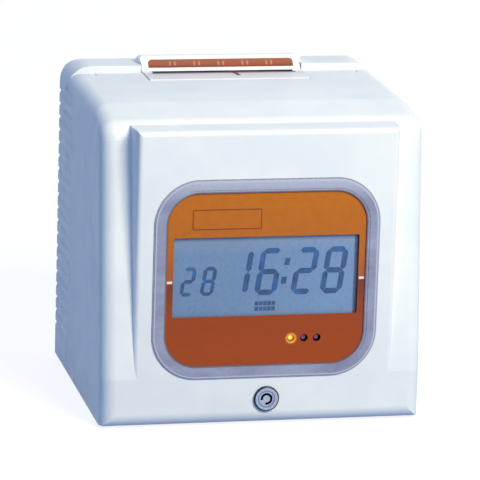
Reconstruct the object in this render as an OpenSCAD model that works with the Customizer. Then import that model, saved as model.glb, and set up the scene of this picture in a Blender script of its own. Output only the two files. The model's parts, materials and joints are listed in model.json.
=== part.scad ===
// Punch-card time clock: ribbed rear case with the printing mechanism, and a lockable front cover that lifts.
// X is the width, -Y the front, +Z up. The origin is on the bench, in the middle of the overall box.

/* [Case] */
// Width of the case
case_w = 200; // [196:1:240]
// Depth of the case, front panel to back
case_d = 172; // [170:1:200]
// Height of the rear top above the underside of the base plate
case_h = 194; // [190:1:230]
// Thickness of the plastic walls
wall = 2.5; // [2:0.1:3.2]
// Thickness of the base plate
base_t = 2.5; // [2:0.1:4]
// Height of the rubber feet
foot_h = 2; // [1.5:0.5:6]
// Radius of the rubber feet
foot_r = 8; // [5:0.5:11]
// Radius of the front cover's long edges
edge_r = 9; // [7:0.5:10]
// Radius of the rear case's top corners
rear_edge_r = 16; // [13:0.5:20]
// Radius of the rear case's back edges
back_r = 7; // [4:0.5:12]
// Gap along the parting line
seam_gap = 0.3; // [0.2:0.05:0.6]

/* [Front cover] */
// Depth of the ribbed rear part of the sides
rear_d = 54; // [48:1:60]
// Depth of the raised rear top
rear_top_d = 30; // [26:1:34]
// Height of the step between the cover's top and the rear top
step_h = 4; // [2:0.5:6]
// Height of the rear top above the parting line's ledge on the sides
ledge_h = 14; // [12:1:24]
// Backward lean of the front around the panel
lean_a = 6.2; // [3:0.1:8]
// Height where the lean starts
lean_h = 30; // [24:1:45]
// Radius of the roll from the front to the top
nose_r = 12; // [12:1:20]
// Tilt of the crown between the roll and the flat top
crown_a = 9; // [6:1:14]
// Distance of the crown's rear crease from the front
crown_d = 52; // [46:1:62]
// Radius of the roll along the bottom edge
chin_r = 9; // [6:0.5:11]
// Height of that roll's centre above the cover's lower edge
chin_h = 7; // [4:0.5:8]
// Gap between the base plate's edge and the walls round it
base_gap = 0.6; // [0.4:0.1:1.5]
// Width of the raised front panel
panel_w = 160.6; // [150:0.2:166]
// Height of the rear top above the panel's upper edge
panel_h = 11; // [9:1:18]
// Radius of the panel's edges
panel_r = 3; // [1:0.5:6]
// How much wider the panel is at its root, on each side
panel_draft = 2; // [0:0.5:4]

/* [Window] */
// Width of the silver window ring
bezel_w = 139.6; // [134:0.2:146]
// Height of the silver window ring
bezel_h = 124.2; // [118:0.2:128]
// Corner radius of the window ring
bezel_r = 28; // [22:1:34]
// Width of the ring's face
bezel_band = 8.2; // [6:0.1:10]
// Height of the window's centre above the base plate's underside
window_z = 91; // [88:0.5:94]
// How far the ring stands out from the panel
bezel_proud = 1; // [0.5:0.1:2]
// Depth of the window pocket in the panel
pocket_d = 1.4; // [1.2:0.1:1.8]
// Thickness of the window label
label_t = 1; // [0.6:0.1:1.1]
// Thickness of the clear lens
lens_t = 1; // [0.8:0.1:1.6]
// Width of the display opening in the label
lcd_w = 114.8; // [100:0.2:116]
// Height of the display opening in the label
lcd_h = 49.6; // [40:0.2:54]
// Height of the display's centre above the base plate's underside
lcd_z = 92.6; // [90:0.1:96]
// Height of the status lamps above the base plate's underside
led_z = 53; // [50:0.5:56]
// Place of the middle status lamp across the window
led_x = 24.9; // [20:0.1:30]
// Spacing of the status lamps
led_pitch = 8.05; // [7:0.05:10]
// Radius of the status lamps
led_r = 2.2; // [1.5:0.1:2.5]

/* [Lock] */
// Place of the lock across the front
lock_x = 2.4; // [-20:0.1:20]
// Height of the lock above the base plate's underside
lock_z = 15.6; // [15:0.1:20]
// Radius of the lock's flange
lock_flange_r = 7.85; // [7:0.05:8.5]
// Radius of the lock's barrel
lock_barrel_r = 6; // [5.6:0.1:6.4]
// Radius of the turning core
lock_core_r = 4.5; // [4.2:0.1:4.8]
// How far the lock stands out from the panel
lock_proud = 2; // [1.2:0.1:4]
// Length of the cam from the core's axis
cam_l = 11; // [9:0.5:11.5]

/* [Hinge] */
// Radius of the hinge barrels
hinge_r = 4; // [3.5:0.1:4.5]
// Radius of the hinge pins
pin_r = 1.5; // [1.2:0.1:2]
// Distance from the side of the case to the inner side of each lug notch
hinge_x = 18; // [16:0.5:26]
// Width of the notch that holds each lug
lug_notch = 5; // [4:0.5:7]
// Depth of the pin in the barrel's outer end
pin_in = 4; // [2:0.5:5]
// Clearance of a shaft in its bore
run_fit = 0.05; // [0.02:0.01:0.08]

/* [Card slot] */
// Width of the card slot
slot_w = 91; // [88:0.5:94]
// Front to back gap of the card slot
slot_gap = 5.4; // [5:0.1:6]
// Width of the throat
throat_w = 103; // [102:0.5:106]
// Rise of the throat's flange above the rear top
flange_rise = 4.6; // [3:0.1:7]
// Thickness of the chute's plates
chute_t = 1.2; // [1:0.1:1.5]
// Height of the printing line above the base plate's underside
print_z = 105; // [100:1:115]
// Lowest height of the card stop above the base plate's underside
stop_z = 18; // [18:1:26]
// Travel of the card stop
stop_travel = 72; // [30:1:74]

/* [Mechanism] */
// Distance of each side cheek's inner face from the middle
cheek_x = 60; // [58:0.5:62]
// Thickness of the sheet metal
sheet_t = 1.5; // [1.2:0.1:1.5]
// Radius of the guide rods
rod_r = 3; // [2.5:0.1:3.5]
// Radius of the carriage screw
screw_r = 3.5; // [3:0.1:4]
// Width of the print head's carriage
carriage_w = 28; // [24:1:32]
// Travel of the carriage to each side of the middle
carriage_travel = 28; // [20:1:28]
// Radius of the lift screw
lift_r = 3; // [2.5:0.1:3.2]
// Travel of the setting keys
key_travel = 1; // [0.6:0.1:1.2]

/* [Ribs and back] */
// Spacing of the grooves in the sides
groove_pitch = 8.5; // [7.5:0.1:10]
// Radius of the grooves in the sides
groove_r = 1.7; // [1:0.1:2]
// Largest number of grooves on each side
groove_n = 19; // [12:1:20]
// Spacing of the wall keyholes
keyhole_pitch = 120; // [100:1:140]
// Radius of the keyholes' round entry
keyhole_r = 4.5; // [4:0.1:6]
// Width of the keyholes' slot
keyhole_slot = 4.5; // [4:0.1:5]
// Height of the keyholes above the base plate's underside
keyhole_z = 150; // [120:1:160]

/* [Hidden] */
$fn = 48;

e = 0.01;
hair = 0.1;
big = 400;
half_w = case_w / 2;
base_z = foot_h;
fy = -(case_d - lock_proud) / 2;
ry = fy + case_d;
seam_y = ry - rear_d;
step_y = ry - rear_top_d;
rear_top = base_z + case_h;
cover_top = rear_top - step_h;
ledge_z = rear_top - ledge_h;
floor_z = base_z + base_t;
skirt_z = base_z + seam_gap;

// Hinge axis, with the cover's rear edge rounded about it, and the inner side of the lug notches.
hinge_y = step_y - seam_gap - hinge_r;
hinge_z = cover_top - hinge_r;
lug_x = half_w - hinge_x;

// Front outline: lean line from L0 upwards, crown line through the crease C, and the roll's centre between.
lean_z = base_z + lean_h;
crease_y = fy + crown_d;
vy = crease_y - fy + nose_r * (sin(crown_a) - cos(lean_a));
vz = cover_top - lean_z + nose_r * (sin(lean_a) - cos(crown_a));
fit_det = -cos(lean_a + crown_a);
lean_l = (vy * sin(crown_a) - vz * cos(crown_a)) / fit_det;
crown_l = (sin(lean_a) * vz - cos(lean_a) * vy) / fit_det;
nose_y = fy + lean_l * sin(lean_a) + nose_r * cos(lean_a);
nose_z = lean_z + lean_l * cos(lean_a) - nose_r * sin(lean_a);

// Window, measured from the panel's face inwards.
win_z = base_z + window_z;
label_w = bezel_w - 2 * bezel_band;
label_h = bezel_h - 2 * bezel_band;
label_r = bezel_r - bezel_band;
pocket_y = fy + pocket_d;
label_y = pocket_y - label_t;
seat_w = 2;
lens_w = label_w - 2 * seat_w - 1;
lens_h = lcd_h + 6;
glass_y = pocket_y + lens_t + 0.8;
lcd_zc = base_z + lcd_z;
led_zc = base_z + led_z;
glass_t = 2.8;
frame_t = 4;
board_t = 1.6;
board_y = glass_y + glass_t + frame_t;
bracket_y = board_y + board_t + 3.2;

lock_zc = base_z + lock_z;
lock_back = fy + 16;

// Card slot planes.
slot_y1 = step_y - seam_gap;
slot_y0 = slot_y1 - slot_gap;
throat_y0 = hinge_y - sqrt(pow(23.2, 2) - pow(4, 2));
notch_y = throat_y0 - 0.6;
print_zc = base_z + print_z;
stop_zc = base_z + stop_z;
stop_h = 8;
chute_z0 = floor_z + 12;
bearing_z = ledge_z - 14;

// Carriage planes.
rod_y = slot_y0 - 26;
rod_dz = 17;
screw_y = slot_y0 - 40;
lift_y = slot_y1 + chute_t + 9.6;

groove_z0 = ledge_z - 6.4;
groove_foot = 12;
boss_r = 4.5;
boss_x = half_w - wall - boss_r + 1;
keyhole_zc = base_z + keyhole_z;

// A cylinder along X from x0 to x1.
module rod_x(r, x0, x1, y, z) {
    translate([x0, y, z]) rotate([0, 90, 0]) cylinder(r = r, h = x1 - x0);
}

// A cylinder along Y from y0 to y1.
module rod_y(r, x, y0, y1, z) {
    translate([x, y0, z]) rotate([-90, 0, 0]) cylinder(r = r, h = y1 - y0);
}

module block(x0, x1, y0, y1, z0, z1) {
    translate([x0, y0, z0]) cube([x1 - x0, y1 - y0, z1 - z0]);
}

module round_rect(w, h, r) {
    square([w - 2 * r, h], center = true);
    square([w, h - 2 * r], center = true);
    for (sx = [-1, 1], sy = [-1, 1]) translate([sx * (w / 2 - r), sy * (h / 2 - r)]) circle(r = r);
}

// A rounded plate standing in the XZ plane, from y0 to y1.
module plate_y(w, h, r, y0, y1, x = 0, z = 0) {
    translate([x, y1, z]) rotate([90, 0, 0]) linear_extrude(y1 - y0) round_rect(w, h, r);
}

// Half-open band of the case: outer face on the X axis of the drawing, two rounded outer corners.
module band(hw, r, depth) {
    translate([-hw + r, 0]) square([2 * (hw - r), depth]);
    translate([-hw, r]) square([2 * hw, depth - r]);
    for (s = [-1, 1]) translate([s * (hw - r), r]) circle(r = r);
}

// Cover body up to the hinge axis, with every face moved in by i.
module cover_form(i) {
    intersection() {
        translate([0, fy + i, 0]) linear_extrude(big) band(half_w - i, edge_r - i, hinge_y - fy - i);
        outline_y(fy, ry) cover_outline(i);
        nose_form(i);
    }
}

// Leaning front, roll and crown, carried on past their ends. The roll is set back by a hair, so that it
// passes through the other two's end faces instead of meeting their edges.
module nose_form(i) {
    hw = half_w - i;
    r = edge_r - i;
    into = 6;
    translate([0, nose_y, nose_z]) {
        rotate([-lean_a, 0, 0]) translate([0, i - nose_r, -lean_l - case_d / 2])
            linear_extrude(lean_l + case_d / 2) band(hw, r, case_d);
        rotate([crown_a - 90, 0, 0]) translate([0, i - nose_r, 0]) linear_extrude(case_d) band(hw, r, case_h);
        rotate([0, 90, 0]) rotate([0, 0, 180 + crown_a - into])
            rotate_extrude(angle = 90 - lean_a - crown_a + 2 * into)
                nose_section(nose_r - i - hair, hw - hair, r - hair);
    }
}

module nose_section(r_out, hw, r) {
    translate([0, -hw + r]) square([r_out, 2 * (hw - r)]);
    translate([0, -hw]) square([r_out - r, 2 * hw]);
    for (s = [-1, 1]) translate([r_out - r, s * (hw - r)]) intersection() {
        circle(r = r);
        translate([-(r_out - r), -r]) square([r_out, 2 * r]);
    }
}

// Front view of the cover, used to trim the hinge edge.
module cover_outline(i) {
    hw = half_w - i;
    top = cover_top - i;
    r = edge_r + 1 - i;
    translate([-hw + r, 0]) square([2 * (hw - r), top]);
    translate([-hw, 0]) square([2 * hw, top - r]);
    for (s = [-1, 1]) translate([s * (hw - r), top - r]) circle(r = r);
}

module outline_y(y0, y1) { translate([0, y1, 0]) rotate([90, 0, 0]) linear_extrude(y1 - y0) children(); }
module outline_x(x0, x1) { translate([x0, 0, 0]) rotate([90, 0, 90]) linear_extrude(x1 - x0) children(); }

// Raised panel: upright face and sides that slope out to a wider root, every face moved in by i.
module panel_form(i) {
    root = 40;
    draft_a = atan(panel_draft / 20);
    w = panel_w / 2 - i;
    top = rear_top - panel_h - i;
    r = panel_r;
    c = w - r * (1 - sin(draft_a)) / cos(draft_a);
    y0 = fy + i;
    intersection() {
        linear_extrude(top + root) union() {
            polygon([[-c, y0], [c, y0], [c + r * cos(draft_a), y0 + r - r * sin(draft_a)],
                [w + root * tan(draft_a), y0 + root], [-w - root * tan(draft_a), y0 + root],
                [-c - r * cos(draft_a), y0 + r - r * sin(draft_a)]]);
            for (s = [-1, 1]) translate([s * c, y0 + r]) circle(r = r);
        }
        translate([-case_w, 0, 0]) rotate([90, 0, 90]) linear_extrude(2 * case_w) union() {
            polygon([[y0, base_z], [y0, top - r], [y0 + r, top], [y0 + root, top], [y0 + root, base_z]]);
            translate([y0 + r, top - r]) circle(r = r);
        }
    }
}

// Everything in front of the rounded bottom edge, with the roll moved in by i.
module chin_cut(i) {
    zc = skirt_z + chin_h;
    difference() {
        block(-big, big, fy - 20, fy + chin_r, -20, zc);
        rod_x(chin_r - i, -big, big, fy + chin_r, zc);
    }
}

module ledge_cut(gap) { block(-big, big, seam_y - gap, ry + 20, -20, ledge_z); }

module front_cover() {
    color("whitesmoke") difference() {
        union() {
            difference() {
                union() {
                    cover_form(0);
                    intersection() {
                        rod_x(hinge_r, -half_w, half_w, hinge_y, hinge_z);
                        outline_y(fy, ry) cover_outline(0);
                    }
                    panel_form(0);
                }
                difference() {
                    union() {
                        cover_form(wall);
                        panel_form(wall);
                    }
                    chin_cut(wall);
                    // Hinge barrels and the cover's rear rail stay.
                    rod_x(hinge_r, -half_w, half_w, hinge_y, hinge_z);
                    // Window frame on the inside of the panel.
                    plate_y(bezel_w + 8, bezel_h + 8, bezel_r + 4, fy, fy + 4.5, 0, win_z);
                    rod_y(lock_barrel_r + 4, lock_x, fy, fy + 7, lock_zc);
                }
                // Open rear and underside.
                block(-half_w + wall, half_w - wall, fy + 60, ry, -20, cover_top - 30);
            }
        }
        chin_cut(0);
        block(-big, big, -big, big, -20, skirt_z);
        ledge_cut(seam_gap / 2);
        // Throat notch between the two hinge barrels.
        block(-throat_w / 2 - 0.5, throat_w / 2 + 0.5, notch_y, ry, cover_top - 30, rear_top);
        // Lug notches and pin bores.
        for (s = [-1, 1]) {
            translate([s * (lug_x + lug_notch / 2), 0, 0])
                block(-lug_notch / 2, lug_notch / 2, hinge_y - hinge_r - 0.8, ry, hinge_z - 12, rear_top);
        }
        rod_x(pin_r + run_fit, -lug_x - lug_notch - pin_in, lug_x + lug_notch + pin_in, hinge_y, hinge_z);
        // Window pocket and opening.
        plate_y(bezel_w + 0.2, bezel_h + 0.2, bezel_r + 0.1, fy - 20, pocket_y, 0, win_z);
        plate_y(label_w - 2 * seat_w, label_h - 2 * seat_w, label_r - seat_w, fy - 20, fy + 20, 0, win_z);
        // Lock hole.
        rod_y(lock_barrel_r + run_fit, lock_x, fy - 20, fy + 20, lock_zc);
    }
}

module window_bezel() {
    ring_in = 0.1;
    lip = 0.9;
    color("lightsteelblue") difference() {
        union() {
            plate_y(bezel_w, bezel_h, bezel_r, fy - bezel_proud + lip * 0.6, pocket_y - e, 0, win_z);
            plate_y(bezel_w - 2 * lip, bezel_h - 2 * lip, bezel_r - lip, fy - bezel_proud, pocket_y - e,
                0, win_z);
        }
        plate_y(label_w + 2 * ring_in, label_h + 2 * ring_in, label_r + ring_in, fy - 20, fy + 20, 0, win_z);
        plate_y(label_w + 4, label_h + 4, label_r + 2, fy - 20, fy - bezel_proud + lip * 0.5, 0, win_z);
    }
}

module window_label() {
    color("peru") difference() {
        plate_y(label_w, label_h, label_r, label_y, pocket_y - e, 0, win_z);
        plate_y(lcd_w, lcd_h, 1.2, fy - 20, fy + 20, 0, lcd_zc);
        for (k = [-1 : 1]) rod_y(led_r + 0.2, led_x + k * led_pitch, fy - 20, fy + 20, led_zc);
    }
}

module window_lens() {
    color("aliceblue") plate_y(lens_w, lens_h, 2, pocket_y, pocket_y + lens_t, 0, lcd_zc);
}

module lock_barrel() {
    color("silver") difference() {
        union() {
            rod_y(lock_flange_r, lock_x, fy - lock_proud + 0.6, fy - e, lock_zc);
            translate([lock_x, fy - lock_proud + 0.6, lock_zc]) rotate([90, 0, 0])
                cylinder(r1 = lock_flange_r, r2 = lock_flange_r - 0.8, h = 0.6);
            rod_y(lock_barrel_r, lock_x, fy - e, lock_back, lock_zc);
        }
        rod_y(lock_core_r + run_fit, lock_x, fy - 20, fy + 40, lock_zc);
    }
}

module lock_nut() {
    color("silver") difference() {
        translate([lock_x, fy + 7.02, lock_zc]) rotate([-90, 0, 0]) cylinder(r = 9, h = 3, $fn = 6);
        rod_y(lock_barrel_r + run_fit, lock_x, fy, fy + 20, lock_zc);
    }
}

// Turning core of the tubular lock: a C-shaped key groove round a centre post.
module lock_core() {
    color("gainsboro") difference() {
        rod_y(lock_core_r, lock_x, fy - lock_proud + 0.4, lock_back + 2.2, lock_zc);
        translate([lock_x, fy - lock_proud + 0.3, lock_zc]) rotate([-90, 0, 0]) rotate([0, 0, 165])
            rotate_extrude(angle = 300) translate([lock_core_r * 0.5, 0]) square([lock_core_r * 0.33, 5]);
    }
}

module lock_cam() {
    cam_w = 8;
    y0 = lock_back + 2.2;
    color("silver") difference() {
        union() {
            rod_y(cam_w / 2, lock_x, y0, y0 + sheet_t, lock_zc);
            block(lock_x - cam_l, lock_x, y0, y0 + sheet_t, lock_zc - cam_w / 2, lock_zc + cam_w / 2);
        }
        rod_y(1.3, lock_x, fy, fy + 40, lock_zc);
    }
}

module cam_screw() {
    y0 = lock_back + 2.2 + sheet_t;
    color("dimgray") union() {
        rod_y(2.6, lock_x, y0, y0 + 1.6, lock_zc);
        rod_y(1.25, lock_x, y0 - sheet_t, y0 + 0.5, lock_zc);
    }
}

// Plan of the case with all four corners rounded.
module plan(i, front) {
    hw = half_w - i;
    f = max(edge_r - i, 3);
    b = max(back_r - i, 2);
    translate([-hw + f, front]) square([2 * (hw - f), 40]);
    translate([-hw, front + f]) square([2 * hw, ry - i - front - f - b]);
    translate([-hw + b, ry - i - 40]) square([2 * (hw - b), 40]);
    for (s = [-1, 1]) {
        translate([s * (hw - f), front + f]) circle(r = f);
        translate([s * (hw - b), ry - i - b]) circle(r = b);
    }
}

module rear_form(i) {
    hw = half_w - i;
    r = rear_edge_r - i;
    top = rear_top - i;
    b = max(back_r - i, 2);
    intersection() {
        outline_y(seam_y - 1, ry + 1) {
            translate([-hw + r, 0]) square([2 * (hw - r), top]);
            translate([-hw, 0]) square([2 * hw, top - r]);
            for (s = [-1, 1]) translate([s * (hw - r), top - r]) circle(r = r);
        }
        linear_extrude(big) plan(i, fy);
        translate([-big / 2, 0, 0]) rotate([90, 0, 90]) linear_extrude(big) {
            translate([seam_y - 2, 0]) square([ry - i - b - seam_y + 2, top]);
            translate([seam_y - 2, 0]) square([ry - i - seam_y + 2, top - b]);
            translate([ry - i - b, top - b]) circle(r = b);
        }
    }
}

module rear_case() {
    color("whitesmoke") difference() {
        union() {
            difference() {
                rear_form(0);
                difference() {
                    rear_form(wall);
                    // Step wall under the raised top.
                    block(-big, big, step_y, step_y + wall, ledge_z, big);
                }
                // The side grooves.
                for (k = [0 : groove_n - 1], s = [-1, 1])
                    if (groove_z0 - k * groove_pitch > base_z + groove_foot)
                        rod_y(groove_r, s * (half_w + 0.2), seam_y + 3, ry + 5, groove_z0 - k * groove_pitch);
            }
            // Screw bosses for the base plate.
            for (s = [-1, 1]) translate([s * boss_x, ry - 12, floor_z + seam_gap])
                cylinder(r = boss_r, h = 22);
            // Posts for the main board.
            for (x = [-post_x, post_x], z = post_z) rod_y(3.5, x, main_y + board_t, ry - wall + e, z);
            // Hinge lugs.
            for (s = [-1, 1]) translate([s * (lug_x + lug_notch / 2), 0, 0]) {
                rod_x(hinge_r - 0.1, -lug_notch / 2 + 0.5, lug_notch / 2 - 0.5, hinge_y, hinge_z);
                block(-lug_notch / 2 + 0.5, lug_notch / 2 - 0.5, hinge_y, step_y + 1, hinge_z - hinge_r + 0.1,
                    hinge_z + 1.5);
            }
        }
        block(-big, big, -big, big, -20, skirt_z);
        block(-big, big, -big, seam_y + seam_gap / 2, -20, big);
        // Room for the cover's top above the ledge, and for its hinge edge.
        difference() {
            block(-big, big, -big, step_y, ledge_z - seam_gap, big);
            for (s = [-1, 1]) translate([s * (lug_x + lug_notch / 2), 0, 0])
                block(-lug_notch / 2 + 0.5, lug_notch / 2 - 0.5, hinge_y - hinge_r, step_y,
                    hinge_z - hinge_r - 1, hinge_z + hinge_r);
        }
        rod_x(pin_r + 0.02, -lug_x - lug_notch - 1, lug_x + lug_notch + 1, hinge_y, hinge_z);
        for (s = [-1, 1]) translate([s * boss_x, ry - 12, 0]) cylinder(r = 1.6, h = 26);
        for (x = [-post_x, post_x], z = post_z) rod_y(1.2, x, main_y, main_y + 6, z);
        // Notch for the throat.
        block(-throat_w / 2 - 0.5, throat_w / 2 + 0.5, seam_y, step_y + 13.5, ledge_z - 1, big);
        // Wall keyholes.
        for (s = [-1, 1]) {
            rod_y(keyhole_r, s * keyhole_pitch / 2, ry - 20, ry + 5, keyhole_zc);
            rod_y(keyhole_slot / 2, s * keyhole_pitch / 2, ry - 20, ry + 5, keyhole_zc + 9);
            translate([s * keyhole_pitch / 2, 0, 0])
                block(-keyhole_slot / 2, keyhole_slot / 2, ry - 20, ry + 5, keyhole_zc, keyhole_zc + 9);
        }
        // Power inlet and cooling slots.
        plate_y(inlet_w + 0.6, inlet_h + 0.6, 2, ry - 20, ry + 5, inlet_x, inlet_zc);
        for (k = [0 : 6]) plate_y(3, 22, 1.49, ry - 20, ry + 5, -30 - 7 * k, base_z + 32);
    }
}

main_y = ry - wall - 6 - board_t;
inlet_w = 27;
inlet_h = 19;
inlet_lip = 3.5;
inlet_x = half_w - 28;
inlet_zc = base_z + 70;

// Main board beside the inlet, and its posts.
main_w = inlet_x - inlet_w / 2 - inlet_lip - 1;
main_z0 = base_z + 62;
main_h = 96;
post_x = main_w - 6;
post_z = [main_z0 + 8, main_z0 + main_h - 8];
buzzer_r = 6;
buzzer_z = bearing_z - 2 * buzzer_r - 6;

module power_inlet() {
    color("dimgray") difference() {
        union() {
            plate_y(inlet_w, inlet_h, 1.8, ry - 16, ry - 0.6, inlet_x, inlet_zc);
            plate_y(inlet_w + 2 * inlet_lip, inlet_h + 2 * inlet_lip, 2, ry - wall - 2.2, ry - wall - e,
                inlet_x, inlet_zc);
        }
        plate_y(inlet_w - 5, inlet_h - 5, 3, ry - 12, ry + 1, inlet_x, inlet_zc);
    }
}

module inlet_pins() {
    color("gold") for (k = [-1 : 1])
        block(inlet_x + k * 6 - 1, inlet_x + k * 6 + 1, ry - 12, ry - 4, inlet_zc - 2, inlet_zc + 2);
}

module base_plate() {
    color("lightgray") difference() {
        translate([0, 0, base_z]) linear_extrude(base_t)
            plan(wall + base_gap, fy + chin_r + base_gap);
        for (s = [-1, 1]) translate([s * boss_x, ry - 12, 0]) cylinder(r = 1.7, h = 20);
        for (s = [-1, 1]) translate([s * (cheek_x - 8), seam_y - 20, 0]) cylinder(r = 1.7, h = 20);
    }
}

module rubber_feet() {
    color("dimgray") for (sx = [-1, 1], sy = [0, 1])
        translate([sx * (half_w - 22), sy == 0 ? fy + 24 : ry - 26, 0]) union() {
            cylinder(r1 = foot_r - 0.6, r2 = foot_r, h = 0.6);
            translate([0, 0, 0.6 - e]) cylinder(r = foot_r, h = foot_h - 0.6);
        }
}

// Folded steel frame: a floor and two cheeks with the rods' bores.
module chassis() {
    y0 = seam_y - 28;
    y1 = slot_y1 + 6;
    zt = ledge_z - 8;
    color("silver") difference() {
        union() {
            block(-cheek_x - sheet_t, cheek_x + sheet_t, y0, y1, floor_z, floor_z + sheet_t);
            for (s = [-1, 1]) translate([s * (cheek_x + sheet_t / 2), 0, 0])
                block(-sheet_t / 2, sheet_t / 2, y0, y1, floor_z, zt);
        }
        for (dz = [-rod_dz, rod_dz])
            rod_x(rod_r + 0.02, -half_w, half_w, rod_y, print_zc + dz);
        rod_x(screw_r + run_fit, -half_w, half_w, screw_y, print_zc);
        translate([-half_w, y0, zt]) rotate([45, 0, 0]) cube([case_w, 20, 20], center = false);
        for (s = [-1, 1]) translate([s * (cheek_x - 8), seam_y - 20, 0]) cylinder(r = 1.6, h = 20);
        translate([0, lift_y, 0]) cylinder(r = 11, h = 20);
    }
}

module base_screws() {
    color("dimgray") {
        for (s = [-1, 1]) translate([s * boss_x, ry - 12, base_z]) union() {
            translate([0, 0, -1.2]) cylinder(r = 3, h = 1.2);
            translate([0, 0, -e]) cylinder(r = 1.5, h = 12);
        }
        for (s = [-1, 1]) translate([s * (cheek_x - 8), seam_y - 20, base_z]) union() {
            translate([0, 0, -1.2]) cylinder(r = 3, h = 1.2);
            translate([0, 0, -e]) cylinder(r = 1.5, h = 8);
        }
    }
}

// Throat of the card slot: a flat lip in front of the slot, and a leaning flange over the rear top behind it.
lip_z = cover_top + 0.4;
flange_z = rear_top + flange_rise;
flange_lean = 7.8;
flange_y = slot_y1 + flange_lean;
flange_back = slot_y1 + 13.4;
flange_a = atan2(flange_z - lip_z, flange_lean);

module throat() {
    color("white") difference() {
        union() {
            outline_x(-throat_w / 2, throat_w / 2)
                polygon([[throat_y0, cover_top - 3.6], [slot_y1 + 1.6, cover_top - 3.6],
                    [slot_y1 + 3, rear_top - wall - 2], [flange_back - 0.4, rear_top - wall],
                    [flange_back - 0.4, rear_top + 0.8], [slot_y1 + 5, rear_top + 0.8],
                    [slot_y1 + 0.6, lip_z], [throat_y0 + 1.6, lip_z], [throat_y0, cover_top - 1]]);
            flange();
        }
        block(-slot_w / 2, slot_w / 2, slot_y0, slot_y1, ledge_z, flange_z + 10);
    }
}

// Flange with rounded upper corners. Its ends spread towards the rear.
module flange() {
    w0 = throat_w / 2 - 0.3;
    w1 = throat_w / 2 + 2.2;
    r = 4.5;
    top = flange_z;
    flare_y = step_y + wall + 0.3;
    intersection() {
        outline_x(-w1, w1)
            polygon([[slot_y1, lip_z - 1.5], [slot_y1, lip_z], [flange_y, top], [flange_back, top - 0.3],
                [flange_back, rear_top + 0.3], [slot_y1 + 5.4, rear_top + 0.3], [slot_y1 + 5.4, rear_top - 1],
                [slot_y1 + 2, lip_z - 1.5]]);
        outline_y(fy, ry) {
            translate([-w1, 0]) square([2 * w1, top - r]);
            translate([-w1 + r, 0]) square([2 * (w1 - r), top]);
            for (s = [-1, 1]) translate([s * (w1 - r), top - r]) circle(r = r);
        }
        linear_extrude(big) polygon([[-w0, slot_y1 - 1], [w0, slot_y1 - 1], [w0, flare_y], [w1, flange_back],
            [w1, ry], [-w1, ry], [-w1, flange_back], [-w0, flare_y]]);
    }
}

// Long label on the flange's leaning face, with its upper corners rounded.
module throat_label() {
    w = 94;
    h = 6;
    r = 2.5;
    color("sienna") translate([0, slot_y1, lip_z]) rotate([flange_a, 0, 0]) translate([0, 2.4, 0])
        linear_extrude(0.3) union() {
            translate([-w / 2, 0]) square([w, h - r]);
            translate([-w / 2 + r, 0]) square([w - 2 * r, h]);
            for (s = [-1, 1]) translate([s * (w / 2 - r), h - r]) circle(r = r);
        }
}

// Slanted pointer printed on the lip.
module index_mark() {
    color("darkred") translate([0, slot_y0, lip_z])
        linear_extrude(0.3) polygon([[5, -0.3], [7.6, -0.3], [8.7, -11], [6.8, -11]]);
}

module chute_front() {
    w = slot_w + 10;
    color("silver") difference() {
        union() {
            block(-w / 2, w / 2, slot_y0 - chute_t, slot_y0, chute_z0, cover_top - 4);
            // Wider foot that meets the cheeks.
            block(-cheek_x, cheek_x, slot_y0 - chute_t, slot_y0, chute_z0, print_zc - 20);
        }
        block(-slot_w / 2 + 2, slot_w / 2 - 2, slot_y0 - 10, slot_y0 + 10, print_zc - 9, print_zc + 9);
    }
}

module chute_rear() {
    y1 = slot_y1 + chute_t;
    top = cover_top - 4;
    color("silver") difference() {
        union() {
            block(-cheek_x, cheek_x, slot_y1, y1, chute_z0, ledge_z - 6);
            block(-throat_w / 2 + 1, throat_w / 2 - 1, slot_y1, y1, chute_z0, top);
            // Edge guides of the card's way.
            for (s = [-1, 1]) translate([s * (slot_w / 2 + 1), 0, 0])
                block(-1, 1, slot_y0, slot_y1 + e, chute_z0, top);
            // Upper bearing plate of the lift screw.
            block(-9, 9, slot_y1, lift_y + 7, bearing_z, bearing_z + sheet_t);
        }
        block(-slot_w / 2 + 1.5, slot_w / 2 - 1.5, slot_y1 - 1, y1 + 1, print_zc - 7, print_zc + 7);
        // Slot for the card stop's arm.
        block(-4, 4, slot_y1 - 1, y1 + 1, stop_zc - 3, stop_zc + stop_h + stop_travel + 1);
        translate([0, lift_y, bearing_z - 5]) cylinder(r = lift_r + run_fit, h = 12);
    }
}

module platen() {
    color("dimgray") union() {
        block(-slot_w / 2 + 2, slot_w / 2 - 2, slot_y1 + 0.05, slot_y1 + chute_t + 0.5,
            print_zc - 6, print_zc + 6);
        block(-cheek_x, cheek_x, slot_y1 + chute_t, slot_y1 + chute_t + 4, print_zc - 6, print_zc + 6);
    }
}

module guide_rods() {
    color("silver") for (dz = [-rod_dz, rod_dz])
        rod_x(rod_r, -cheek_x - sheet_t - 1, cheek_x + sheet_t + 1, rod_y, print_zc + dz);
}

module carriage_motor() {
    x1 = -cheek_x - sheet_t;
    color("slategray") difference() {
        union() {
            rod_x(12, x1 - 20, x1 - e, screw_y, print_zc);
            rod_x(4, x1 - 21.5, x1 - 20 + e, screw_y, print_zc);
        }
        rod_x(screw_r + 0.3, x1 - 5, x1 + 1, screw_y, print_zc);
    }
}

module carriage_screw() {
    color("silver") rod_x(screw_r, -cheek_x - sheet_t - 4.6, cheek_x + sheet_t + 2, screw_y, print_zc);
}

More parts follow.
